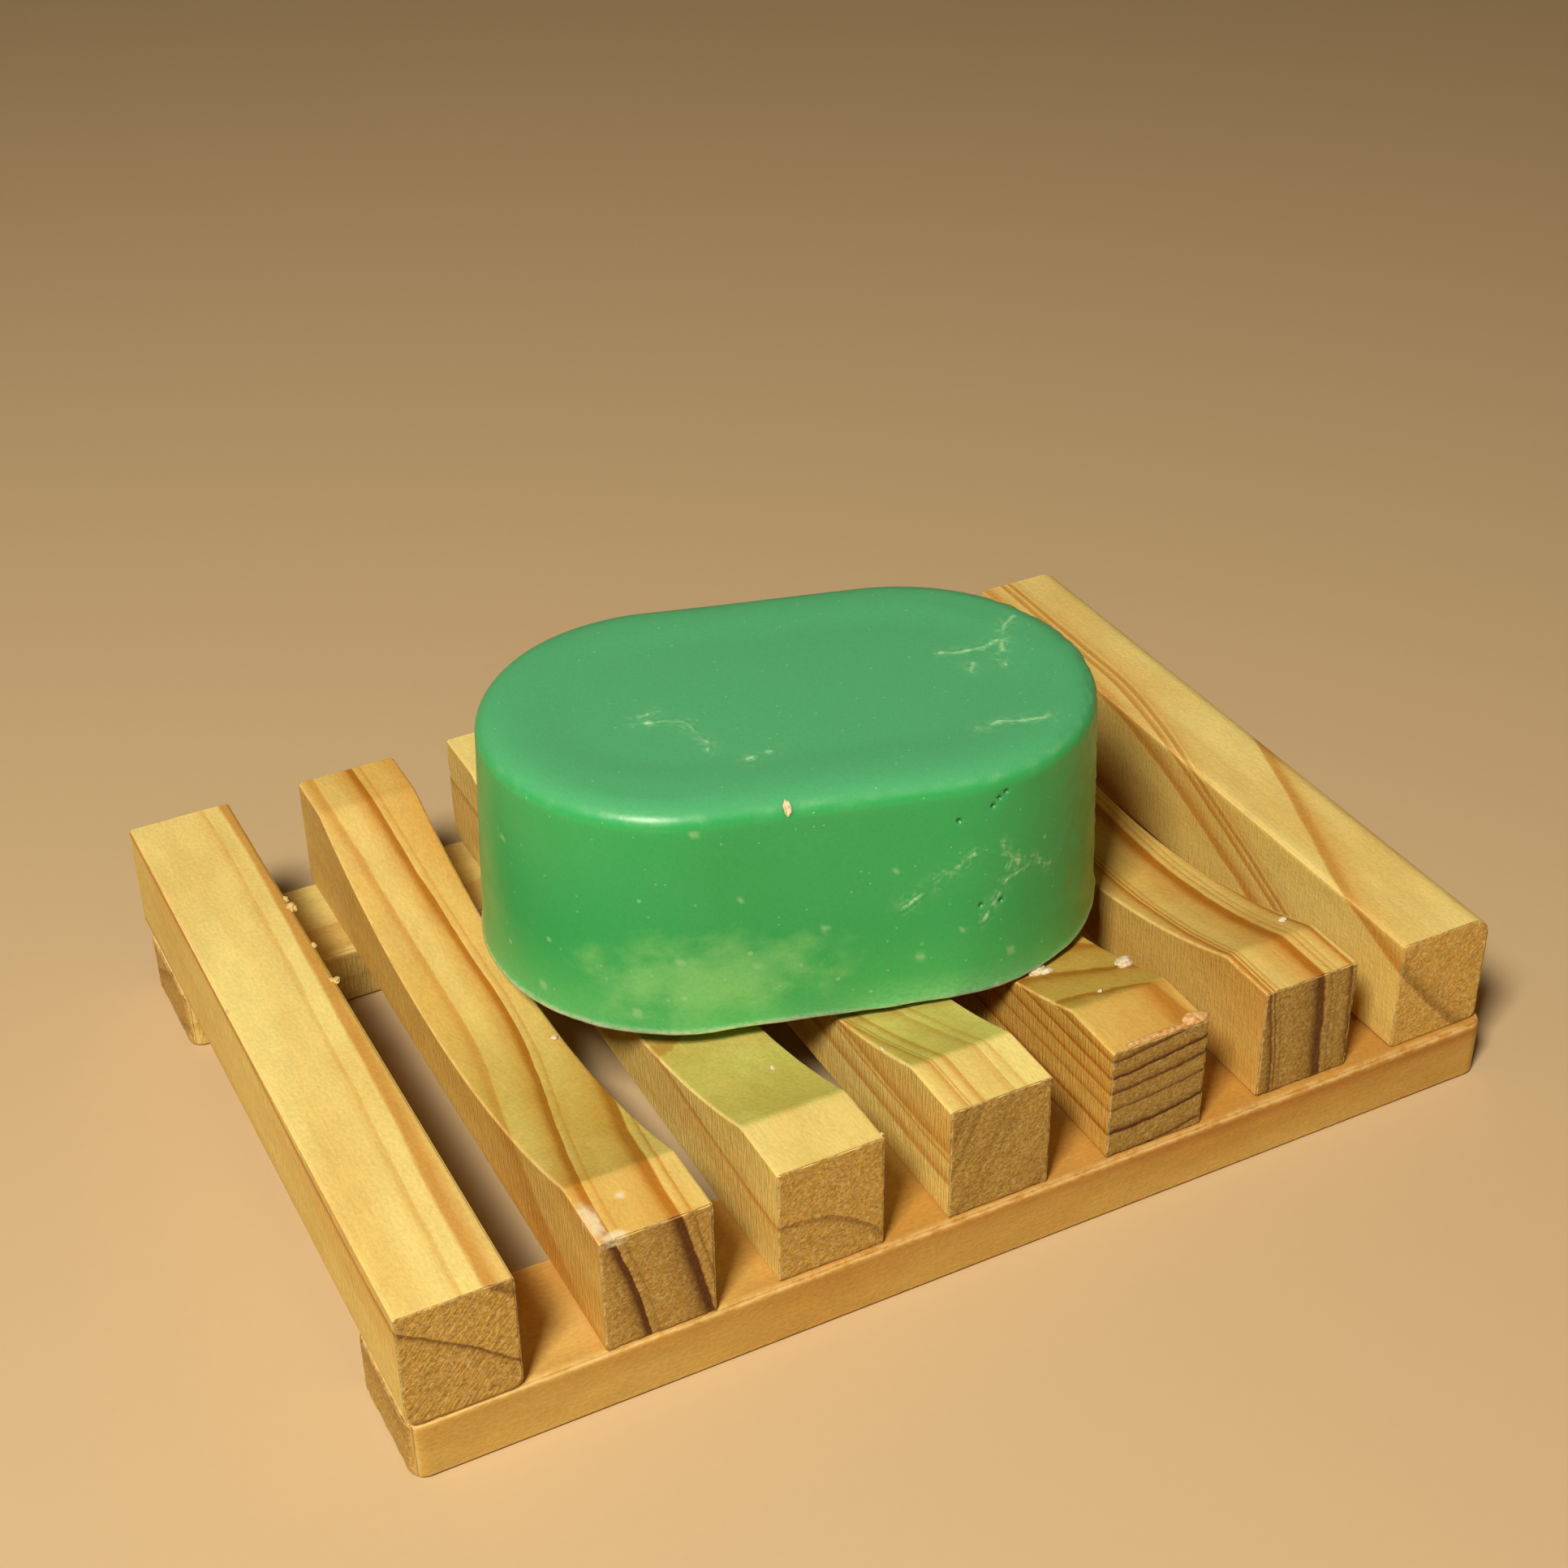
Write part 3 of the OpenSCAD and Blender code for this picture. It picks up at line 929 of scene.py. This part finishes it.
# Each slat's wood. Pith is the middle of the log, seen on the front end from the slat's lower
# left corner. Bands are summer wood, as (distance further out than that corner, width, depth).
# Drift is how far the rings move to the right and up over a stretch from the front end.
PLAIN = {
    "drift": (0.0, 0.0, 0.0),
    "drift_over": (0.0, 82.0),
    "warmth": 0.0,
    "tone": 1.0,
    # Side: colour that multiplies the side faces, as painted shade
    "side": "#F6EEDC",
    "sawn": 0.07,
    "contrast": 0.8,
    "saw_angle": 0.6,
    "hatch": 0.08,
    "end_tone": 1.0,
    "residue_and_bounce": 0.0,
    "residue_over": (30.0, 48.0),
}
SLAT_WOOD = {
    "left_end_slat": {
        "pith": (-93.0, -118.0),
        "bands": [(0.0, 0.6, 0.5), (9.3, 0.6, 0.8), (14.2, 0.5, 0.3), (16.1, -1.6, 0.65)],
        "drift": (1.9, 0.0, 0.0),
        "contrast": 1.0,
        "saw_angle": 0.9,
        "hatch": 0.26,
        "seed": 1.0,
    },
    "scooped_slat_1": {
        "pith": (-147.0, -30.0),
        "bands": [(-0.3, 1.6, 0.5), (4.2, 1.5, 1.0), (5.4, 0.5, 0.4), (10.0, 2.1, 1.0), (11.6, 0.5, 0.6)],
        "drift": (4.6, 0.0, 0.0),
        "drift_over": (0.0, 46.0),
        "warmth": 0.5,
        "contrast": 1.0,
        "residue_and_bounce": 0.55,
        "residue_over": (30.0, 50.0),
        "end_tone": 0.88,
        "seed": 2.0,
    },
    "scooped_slat_2": {
        "pith": (0.8, -6.2),
        "bands": [(4.6, 2.2, 0.15), (6.4, 0.9, 0.6)],
        "drift": (0.0, 0.0, 1.5),
        "drift_over": (0.0, 40.0),
        "residue_and_bounce": 1.0,
        "residue_over": (60.0, 90.0),
        "seed": 3.0,
    },
    "scooped_slat_3": {
        "pith": (-135.0, 66.0),
        "bands": [(-3.5, 1.2, 0.6), (-2.1, 0.8, 0.5), (0.9, 1.2, 0.35), (2.2, 0.6, 0.3), (8.6, 2.0, 0.35)],
        "contrast": 1.1,
        "residue_and_bounce": 0.9,
        "residue_over": (60.0, 90.0),
        "end_tone": 0.85,
        "seed": 4.0,
    },
    "scooped_slat_4": {
        "pith": (-0.4, 55.0),
        "bands": [
            (-12.2, 0.7, 0.9),
            (-10.0, 0.7, 1.0),
            (-8.1, 0.7, 0.9),
            (-5.9, 0.5, 0.8),
            (-3.1, 0.8, 1.0),
            (0.0, 0.6, 0.9),
        ],
        "drift": (0.0, 0.0, 0.6),
        "warmth": 0.85,
        "tone": 0.95,
        "contrast": 0.9,
        "residue_and_bounce": 0.65,
        "residue_over": (60.0, 90.0),
        "end_tone": 0.75,
        "seed": 5.0,
    },
    "scooped_slat_5": {
        "pith": (-150.0, -5.0),
        "bands": [
            (1.6, 1.5, 0.9),
            (2.6, 0.5, 0.4),
            (7.2, 2.3, 0.95),
            (8.8, 0.4, 0.5),
            (9.5, 0.3, 0.4),
            (11.0, 0.8, 0.8),
        ],
        "contrast": 1.1,
        "drift": (2.0, 0.0, 0.0),
        "drift_over": (0.0, 60.0),
        "warmth": 0.3,
        "sawn": 0.04,
        "residue_and_bounce": 0.2,
        "residue_over": (60.0, 90.0),
        "end_tone": 0.82,
        "seed": 6.0,
    },
    "right_end_slat": {
        "pith": (113.0, 98.0),
        "bands": [(-5.3, 1.7, 0.6), (2.5, 1.0, 0.6), (3.4, 0.8, 0.6), (5.3, 1.6, 0.6), (12.5, 1.8, 0.5)],
        "drift": (10.5, 0.0, 9.2),
        "drift_over": (-15.0, 60.0),
        "contrast": 1.05,
        "end_tone": 1.2,
        "sawn": 0.03,
        "seed": 7.0,
    },
}
RAIL_WOOD = {
    "front_rail": {
        "pith": (8.0, -160.0),
        "bands": [(7.6, 3.2, 0.9), (-2.0, 1.5, 0.2)],
        "drift": (0.0, 0.0, -1.6),
        "drift_over": (0.0, 120.0),
        "warmth": 0.25,
        "tone": 0.87,
        # The front face is painted darker, as shade
        "side": "#EFE0C8",
        "sawn": 0.0,
        "contrast": 0.65,
        "seed": 8.0,
    },
    "rear_rail": {
        "pith": (-60.0, -120.0),
        "bands": [(2.5, 1.2, 0.4), (8.0, 1.4, 0.5), (14.0, 1.2, 0.5)],
        "drift": (1.5, 0.0, 0.5),
        "drift_over": (0.0, 120.0),
        "tone": 0.85,
        "contrast": 0.55,
        "seed": 9.0,
    },
}
# Smears of dried soap: place from the slat's left side and front end, reach each way, depth
SMEARED_SLAT = "scooped_slat_1"
SMEARS = [
    (0.7, 3.2, 0.9, 3.2, 1.0),
    (1.6, 0.5, 1.7, 0.7, 1.0),
    (4.3, 5.0, 0.7, 0.8, 0.9),
]
# Radius of each long edge: lower left, lower right, upper left, upper right
END_SLAT_EDGES = {
    "left_end_slat": (1.5, 1.2, 0.35, 0.5),
    "right_end_slat": (0.5, 0.8, 0.6, 2.5),
}
INNER_EDGES = (0.35, 0.35, 0.35, 0.35)
RAIL_EDGES = (0.5, 0.5, 0.8, 0.5)
RAIL_CORNERS = (1.7, 1.7, 1.7, 1.7)
# The trough is one round cut along X: half its length across the dish, and its depth
TROUGH_HALF = 33.6
TROUGH_DEPTH = 6.6
TROUGH_RADIUS = (TROUGH_HALF**2 + TROUGH_DEPTH**2) / (2 * TROUGH_DEPTH)
# How ragged the saw left the ends, and the margin that a bar's own edge radius takes
INNER_RAGGED, END_RAGGED, RAIL_RAGGED = 0.42, 0.16, 0.1
SLAT_MARGIN, RAIL_MARGIN = 0.3, 0.4
RAIL_GRID = (0.7, 0.6, 0.7)
# Each brad's dimple: how deep it is, and its radius
DIMPLE_DEPTH, DIMPLE_RADIUS = 0.62, 1.12


def worn_bar(size, radii, margin, spacing, seed, ragged):
    """A sawn bar along Y, centred, with nicked edges and ends that the saw left rough.

    Returns its points, faces, how sharp an edge each point is on, and outward directions.
    """
    points, faces, outward = rounded_bar(size, margin, spacing)
    points = round_corners(points, np.array(size) / 2, 0, 2, radii)
    edge = np.clip(2 * (1 - np.max(np.abs(outward), axis=1) ** 2), 0, 1)
    at_end = np.abs(outward[:, 1]) > 0.1
    on_end = np.abs(outward[:, 1]) > 0.7
    nick = np.clip(ripple(points, 1.3, seed) - 0.1, 0, 1) ** 1.5
    fray = np.clip(ripple(points, 0.6, seed + 4) - 0.1, 0, 1)
    depth = edge * np.where(at_end, ragged * (nick + fray), 0.3 * ragged * nick)
    grain = ripple(points, 0.45, seed + 2) + 0.6 * ripple(points, 0.95, seed + 3)
    depth += np.where(on_end, 0.06 * (1.6 + grain), 0.0)
    depth += np.where(at_end, 0.0, 0.03 * (1 + ripple(points, (4.0, 18.0, 4.0), seed + 1)))
    return points - outward * depth[:, None], faces, edge, outward


def trough_drop(y):
    """How far the trough is below the top of the slats, at y millimetres from the middle."""
    inside = np.clip(TROUGH_RADIUS**2 - np.asarray(y, float) ** 2, 0, None)
    return np.clip(np.sqrt(inside) - (TROUGH_RADIUS - TROUGH_DEPTH), 0, None)


def slat(name, settings):
    """One slat of the dish, from its CAD box. The five inner ones carry the trough."""
    low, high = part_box(name)
    size = (high - low) / MM
    middle = (high + low) / 2 / MM
    wood = {**PLAIN, **SLAT_WOOD[name]}
    scooped = name.startswith("scooped")
    step = settings.grid / MM
    radii = END_SLAT_EDGES.get(name, INNER_EDGES)
    ragged = INNER_RAGGED if scooped else END_RAGGED
    points, faces, edge, outward = worn_bar(
        size, radii, SLAT_MARGIN, (step, 1.1 * step, step), wood["seed"], ragged
    )
    values = {"edge": edge}
    if scooped:
        along = points[:, 1] + middle.y
        drop = trough_drop(along)
        share = np.clip((points[:, 2] + size.z / 2) / (size.z - 0.5), 0, 1)
        points[:, 2] -= drop * share
        on_top = outward[:, 2] > 0.99
        points[on_top, 2] -= 0.02 * (1 + ripple(points[on_top], (9.0, 0.8, 9.0), wood["seed"]))
        values["trough"] = on_top * np.clip((TROUGH_HALF - np.abs(along)) / 0.4, 0, 1)
    if name == SMEARED_SLAT:
        across, back = points[:, 0] + size.x / 2, points[:, 1] + size.y / 2
        smears = [
            depth * np.exp(-(((across - x) / wide) ** 2) - ((back - y) / long) ** 2)
            for x, y, wide, long, depth in SMEARS
        ]
        values["chalk"] = np.max(smears, axis=0) * (points[:, 2] > size.z / 2 - 0.9)
    made = mesh_object(name + "_pine", points + np.array(middle), faces, values)
    material = bare_pine("sanded_pine_" + name, tuple(low), wood, settings)
    place_piece(made, material, "dish", [name])


class SOAPDISH_OT_slats(bpy.types.Operator):
    """Make the seven slats"""

    bl_idname = "soapdish.slats"
    bl_label = "Slats"

    def execute(self, context):
        low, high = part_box("scooped_slat_3")
        if 2 * TROUGH_HALF * MM >= high.y - low.y:
            raise ValueError("the trough has to leave a flat at each end of a slat")
        for name in SLAT_WOOD:
            slat(name, context.scene.dish_pine)
        return {"FINISHED"}


def rail(name, settings):
    """One rail. It is built along Y, turned onto X, and dimpled where each brad went in."""
    low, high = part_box(name)
    size = (high - low) / MM
    middle = (high + low) / 2 / MM
    wood = {**PLAIN, **RAIL_WOOD[name]}
    turned = (size.y, size.x, size.z)
    points, faces, _, _ = worn_bar(
        turned, RAIL_EDGES, RAIL_MARGIN, RAIL_GRID, wood["seed"], RAIL_RAGGED
    )
    points = round_corners(points, np.array(turned) / 2, 0, 1, RAIL_CORNERS)
    points = points[:, [1, 0, 2]] + np.array(middle)
    faces = [face[::-1] for face in faces]
    brads = [((a.x + b.x) / 2 / MM, middle.y, 0.0) for a, b in map(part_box, SLAT_WOOD)]
    rims = [
        (x + r * math.cos(a), y + r * math.sin(a), 0.0)
        for x, y, _ in brads
        for r in (0.0, 1.0)
        for a in np.linspace(0, math.tau, 9)[:-1]
    ]
    points, _, faces = refine_near(points, faces, rims, 0.75, 3)
    away = distances(points * (1, 1, 0), brads)
    under = points[:, 2] < 0.5
    points[under, 2] += DIMPLE_DEPTH * np.clip((DIMPLE_RADIUS - away[under]) / 0.12, 0, 1)
    values = {"edge": nearness_to_edge(points, low / MM, high / MM)}
    made = mesh_object(name + "_pine", points, faces, values)
    material = bare_pine("planed_pine_" + name, tuple(low), wood, settings, along="X")
    place_piece(made, material, "dish", [name])


def nearness_to_edge(points, low, high):
    """1 on a box's edges, falling to 0 within a millimetre of them."""
    gaps = np.sort(np.minimum(points - np.array(low), np.array(high) - points), axis=1)
    return np.clip(1 - gaps[:, 1] / 0.8, 0, 1)


class SOAPDISH_OT_rails(bpy.types.Operator):
    """Make the two rails"""

    bl_idname = "soapdish.rails"
    bl_label = "Rails"

    def execute(self, context):
        for name in RAIL_WOOD:
            rail(name, context.scene.dish_pine)
        return {"FINISHED"}


class SOAPDISH_OT_brads(bpy.types.Operator):
    """Give the brads their steel"""

    bl_idname = "soapdish.brads"
    bl_label = "Brads"

    def execute(self, context):
        steel = drawn_steel()
        for name in ("front_brads", "rear_brads"):
            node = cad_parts[name]
            node.data.materials.clear()
            node.data.materials.append(steel)
        return {"FINISHED"}


# ---------------------------------------------------------------- crumbs and splinters

# What lies on the slats: slat, distance from its left side and front end, size along X, Y, Z
CRUMBS = [
    ("scooped_slat_5", 9.7, 10.6, (1.1, 0.8, 0.5)),
    ("scooped_slat_4", 10.3, 13.6, (1.9, 1.4, 0.9)),
    ("scooped_slat_4", 2.6, 18.3, (2.3, 1.7, 0.8)),
    ("scooped_slat_4", 3.6, 17.4, (1.3, 0.8, 0.4)),
    ("scooped_slat_4", 4.6, 9.4, (0.5, 0.4, 0.3)),
    ("scooped_slat_1", 10.4, 35.2, (0.7, 0.6, 0.4)),
    ("scooped_slat_2", 8.2, 17.0, (0.4, 0.7, 0.2)),
]
# Fibre torn up along a slat's upper edge: slat, side (0 left, 1 right), from the front, size
BURRS = [
    ("left_end_slat", 1, 46.9, (0.9, 1.0, 0.5)),
    ("left_end_slat", 1, 53.5, (0.4, 0.8, 0.4)),
    ("left_end_slat", 1, 60.6, (1.0, 1.3, 0.6)),
    ("left_end_slat", 1, 62.4, (0.5, 0.9, 0.4)),
    ("left_end_slat", 0, 47.0, (0.3, 0.9, 0.3)),
    ("scooped_slat_3", 0, 13.4, (0.5, 1.1, 0.4)),
    ("scooped_slat_2", 1, 0.7, (0.4, 0.4, 0.5)),
]


def surface_height(name, y):
    """Height of a slat's upper face at y, in millimetres."""
    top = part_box(name)[1].z / MM
    return top - float(trough_drop(y)) if name.startswith("scooped") else top


def lump(name, centre, size, seed, rugged=0.35):
    """A small broken piece: a ball with dents and bumps, flattened underneath."""
    work = bmesh.new()
    bmesh.ops.create_icosphere(work, subdivisions=4, radius=0.5)
    points, _, faces = closed(work)
    away = 1 + rugged * (ripple(points, 0.55, seed) + 0.5 * ripple(points, 0.2, seed + 1))
    points = points * away[:, None]
    points[:, 2] = np.maximum(points[:, 2], -0.3)
    return mesh_object(name, points * np.array(size) + np.array(centre), faces)


class SOAPDISH_OT_crumbs(bpy.types.Operator):
    """Make the dried soap crumbs, the splinters and the beige fleck"""

    bl_idname = "soapdish.crumbs"
    bl_label = "Crumbs and Splinters"

    def execute(self, context):
        settings = context.scene.dish_pine
        white = chalky_crumb("dried_soap_crumb", "#EADFC6", "#C9B488")
        for number, (name, from_left, from_front, size) in enumerate(CRUMBS, 1):
            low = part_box(name)[0] / MM
            y = low.y + from_front
            height = surface_height(name, y) + 0.3 * size[2]
            made = lump(f"crumb_{number}", (low.x + from_left, y, height), size, number)
            place_piece(made, white, "dish")

        pale = chalky_crumb("torn_pine_fibre", "#E9D096", "#CCA052")
        for number, (name, side, from_front, size) in enumerate(BURRS, 1):
            low, high = (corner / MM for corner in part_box(name))
            x = high.x - 0.05 if side else low.x + 0.2
            y = low.y + from_front
            height = surface_height(name, y) - 0.2
            made = lump(f"torn_fibre_{number}", (x, y, height), size, 40 + number, 0.5)
            place_piece(made, pale, "dish")

        # A ridge of torn fibre and soap along the front edge of the fourth scooped slat
        low, high = (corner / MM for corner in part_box("scooped_slat_4"))
        burr = chalky_crumb("soapy_burr", "#E3BC84", "#C0843F")
        corner = (high.x - 1.2, low.y + 0.9, high.z + 0.05)
        edge = (low.x + 5.4, low.y + 0.65, high.z - 0.05)
        place_piece(lump("burr_corner", corner, (2.8, 1.6, 1.1), 21, 0.15), burr, "dish")
        place_piece(lump("burr_edge", edge, (7.6, 0.7, 0.45), 22, 0.25), burr, "dish")

        # A beige fleck stuck to the puck's front shoulder
        puck = context.scene.soap_puck
        low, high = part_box("soap_puck")
        shape = PuckShape(puck, (high.z - low.z) / MM)
        made = lump("fleck", (0, 0, 0), (0.7, 1.5, 0.45), 31, 0.5)
        bend = math.radians(58)
        out, height = shape.shoulder_point(bend)
        local = Vector((-4.2 * MM, -out * MM, height * MM))
        turned = Euler((0, 0, -puck.turn))
        middle = (low + high) / 2
        base = Vector((middle.x, middle.y, low.z))
        made.location = base + turned.to_matrix() @ local
        made.rotation_euler = Euler((bend, 0, -puck.turn - 0.15))
        place_piece(made, chalky_crumb("beige_fleck", "#EADCB4", "#B8A878"), "soap")
        return {"FINISHED"}


# ---------------------------------------------------------------- the stage

# The floor in millimetres: half its side, and its squares along one side
FLOOR_HALF = 3000.0
FLOOR_STEPS = 12
# The lights in metres: where they stand, how wide they are, and what they are aimed at
KEY_PLACE, KEY_SIZE = (-0.28, -0.262, 0.485), 0.12
FILL_PLACE, FILL_SIZE = (0.55, -0.45, 0.45), 0.60
DISH_MIDDLE = Vector((0.0, 0.0, 0.02))
# The camera stands to the front left, a hand's height above the dish: its place in metres,
# and how far it is turned to the right, tipped down and rolled, in degrees
CAMERA_PLACE = (-0.0998, -0.1945, 0.1776)
CAMERA_TURN, CAMERA_DOWN, CAMERA_ROLL = -26.93, 33.81, -0.78
SENSOR_WIDTH = 36.0


def area_light(name, place, size, power, colour):
    """A square soft box at place, aimed at the dish."""
    data = bpy.data.lights.new(name, "AREA")
    data.shape = "SQUARE"
    data.size = size
    data.energy = power
    data.color = linear(colour)[:3]
    light = bpy.data.objects.new(name, data)
    light.location = place
    aim = DISH_MIDDLE - Vector(place)
    light.rotation_euler = aim.to_track_quat("-Z", "Y").to_euler()
    bpy.context.scene.collection.objects.link(light)


class SOAPDISH_OT_stage(bpy.types.Operator):
    """Make the floor, the lights, the sky and the camera"""

    bl_idname = "soapdish.stage"
    bl_label = "Stage"

    def execute(self, context):
        scene = context.scene
        settings = scene.dish_stage
        row = FLOOR_STEPS + 1
        cells = np.linspace(-FLOOR_HALF, FLOOR_HALF, row)
        points = [(x, y, 0.0) for y in cells for x in cells]
        corners = [j * row + i for j in range(FLOOR_STEPS) for i in range(FLOOR_STEPS)]
        faces = [(k, k + 1, k + row + 1, k + row) for k in corners]
        floor = mesh_object("floor", points, faces)
        floor.data.materials.append(studio_paper(settings))

        area_light("key", KEY_PLACE, KEY_SIZE, settings.key_power, "#FFF7E8")
        area_light("fill", FILL_PLACE, FILL_SIZE, settings.fill_power, "#FFC57A")

        world = bpy.data.worlds.new("studio_sky")
        world.use_nodes = True
        background = world.node_tree.nodes["Background"]
        background.inputs[0].default_value = linear("#FFCB80")
        background.inputs[1].default_value = settings.sky
        scene.world = world
        scene.view_settings.view_transform = "Standard"

        data = bpy.data.cameras.new("camera")
        data.lens = settings.lens
        data.sensor_width = SENSOR_WIDTH
        camera = bpy.data.objects.new("camera", data)
        camera.location = CAMERA_PLACE
        turn, down, roll = map(math.radians, (CAMERA_TURN, CAMERA_DOWN, CAMERA_ROLL))
        facing = Euler((math.pi / 2 - down, 0, turn)).to_matrix()
        camera.rotation_euler = (facing @ Euler((0, 0, roll)).to_matrix()).to_euler()
        scene.collection.objects.link(camera)
        scene.camera = camera
        return {"FINISHED"}


class SOAPDISH_PT_panel(bpy.types.Panel):
    """Lists the makers in the order they run"""

    bl_idname = "SOAPDISH_PT_panel"
    bl_label = "Soap Dish"
    bl_space_type = "VIEW_3D"
    bl_region_type = "UI"
    bl_category = "Soap Dish"

    def draw(self, context):
        for maker in MAKERS:
            self.layout.operator(maker.bl_idname)
        for group in ("soap_puck", "dish_pine", "dish_stage"):
            box = self.layout.box()
            settings = getattr(context.scene, group)
            for key in settings.__annotations__:
                box.prop(settings, key)


MAKERS = (
    SOAPDISH_OT_slats,
    SOAPDISH_OT_rails,
    SOAPDISH_OT_brads,
    SOAPDISH_OT_puck,
    SOAPDISH_OT_crumbs,
    SOAPDISH_OT_stage,
)
CLASSES = (SoapSettings, PineSettings, StageSettings, *MAKERS, SOAPDISH_PT_panel)


def register():
    for item in CLASSES:
        bpy.utils.register_class(item)
    bpy.types.Scene.soap_puck = bpy.props.PointerProperty(type=SoapSettings)
    bpy.types.Scene.dish_pine = bpy.props.PointerProperty(type=PineSettings)
    bpy.types.Scene.dish_stage = bpy.props.PointerProperty(type=StageSettings)


def unregister():
    for group in ("soap_puck", "dish_pine", "dish_stage"):
        delattr(bpy.types.Scene, group)
    for item in reversed(CLASSES):
        bpy.utils.unregister_class(item)


def main():
    """Runs every maker."""
    register()
    for maker in MAKERS:
        group, name = maker.bl_idname.split(".")
        getattr(getattr(bpy.ops, group), name)()


if __name__ == "__main__":
    main()
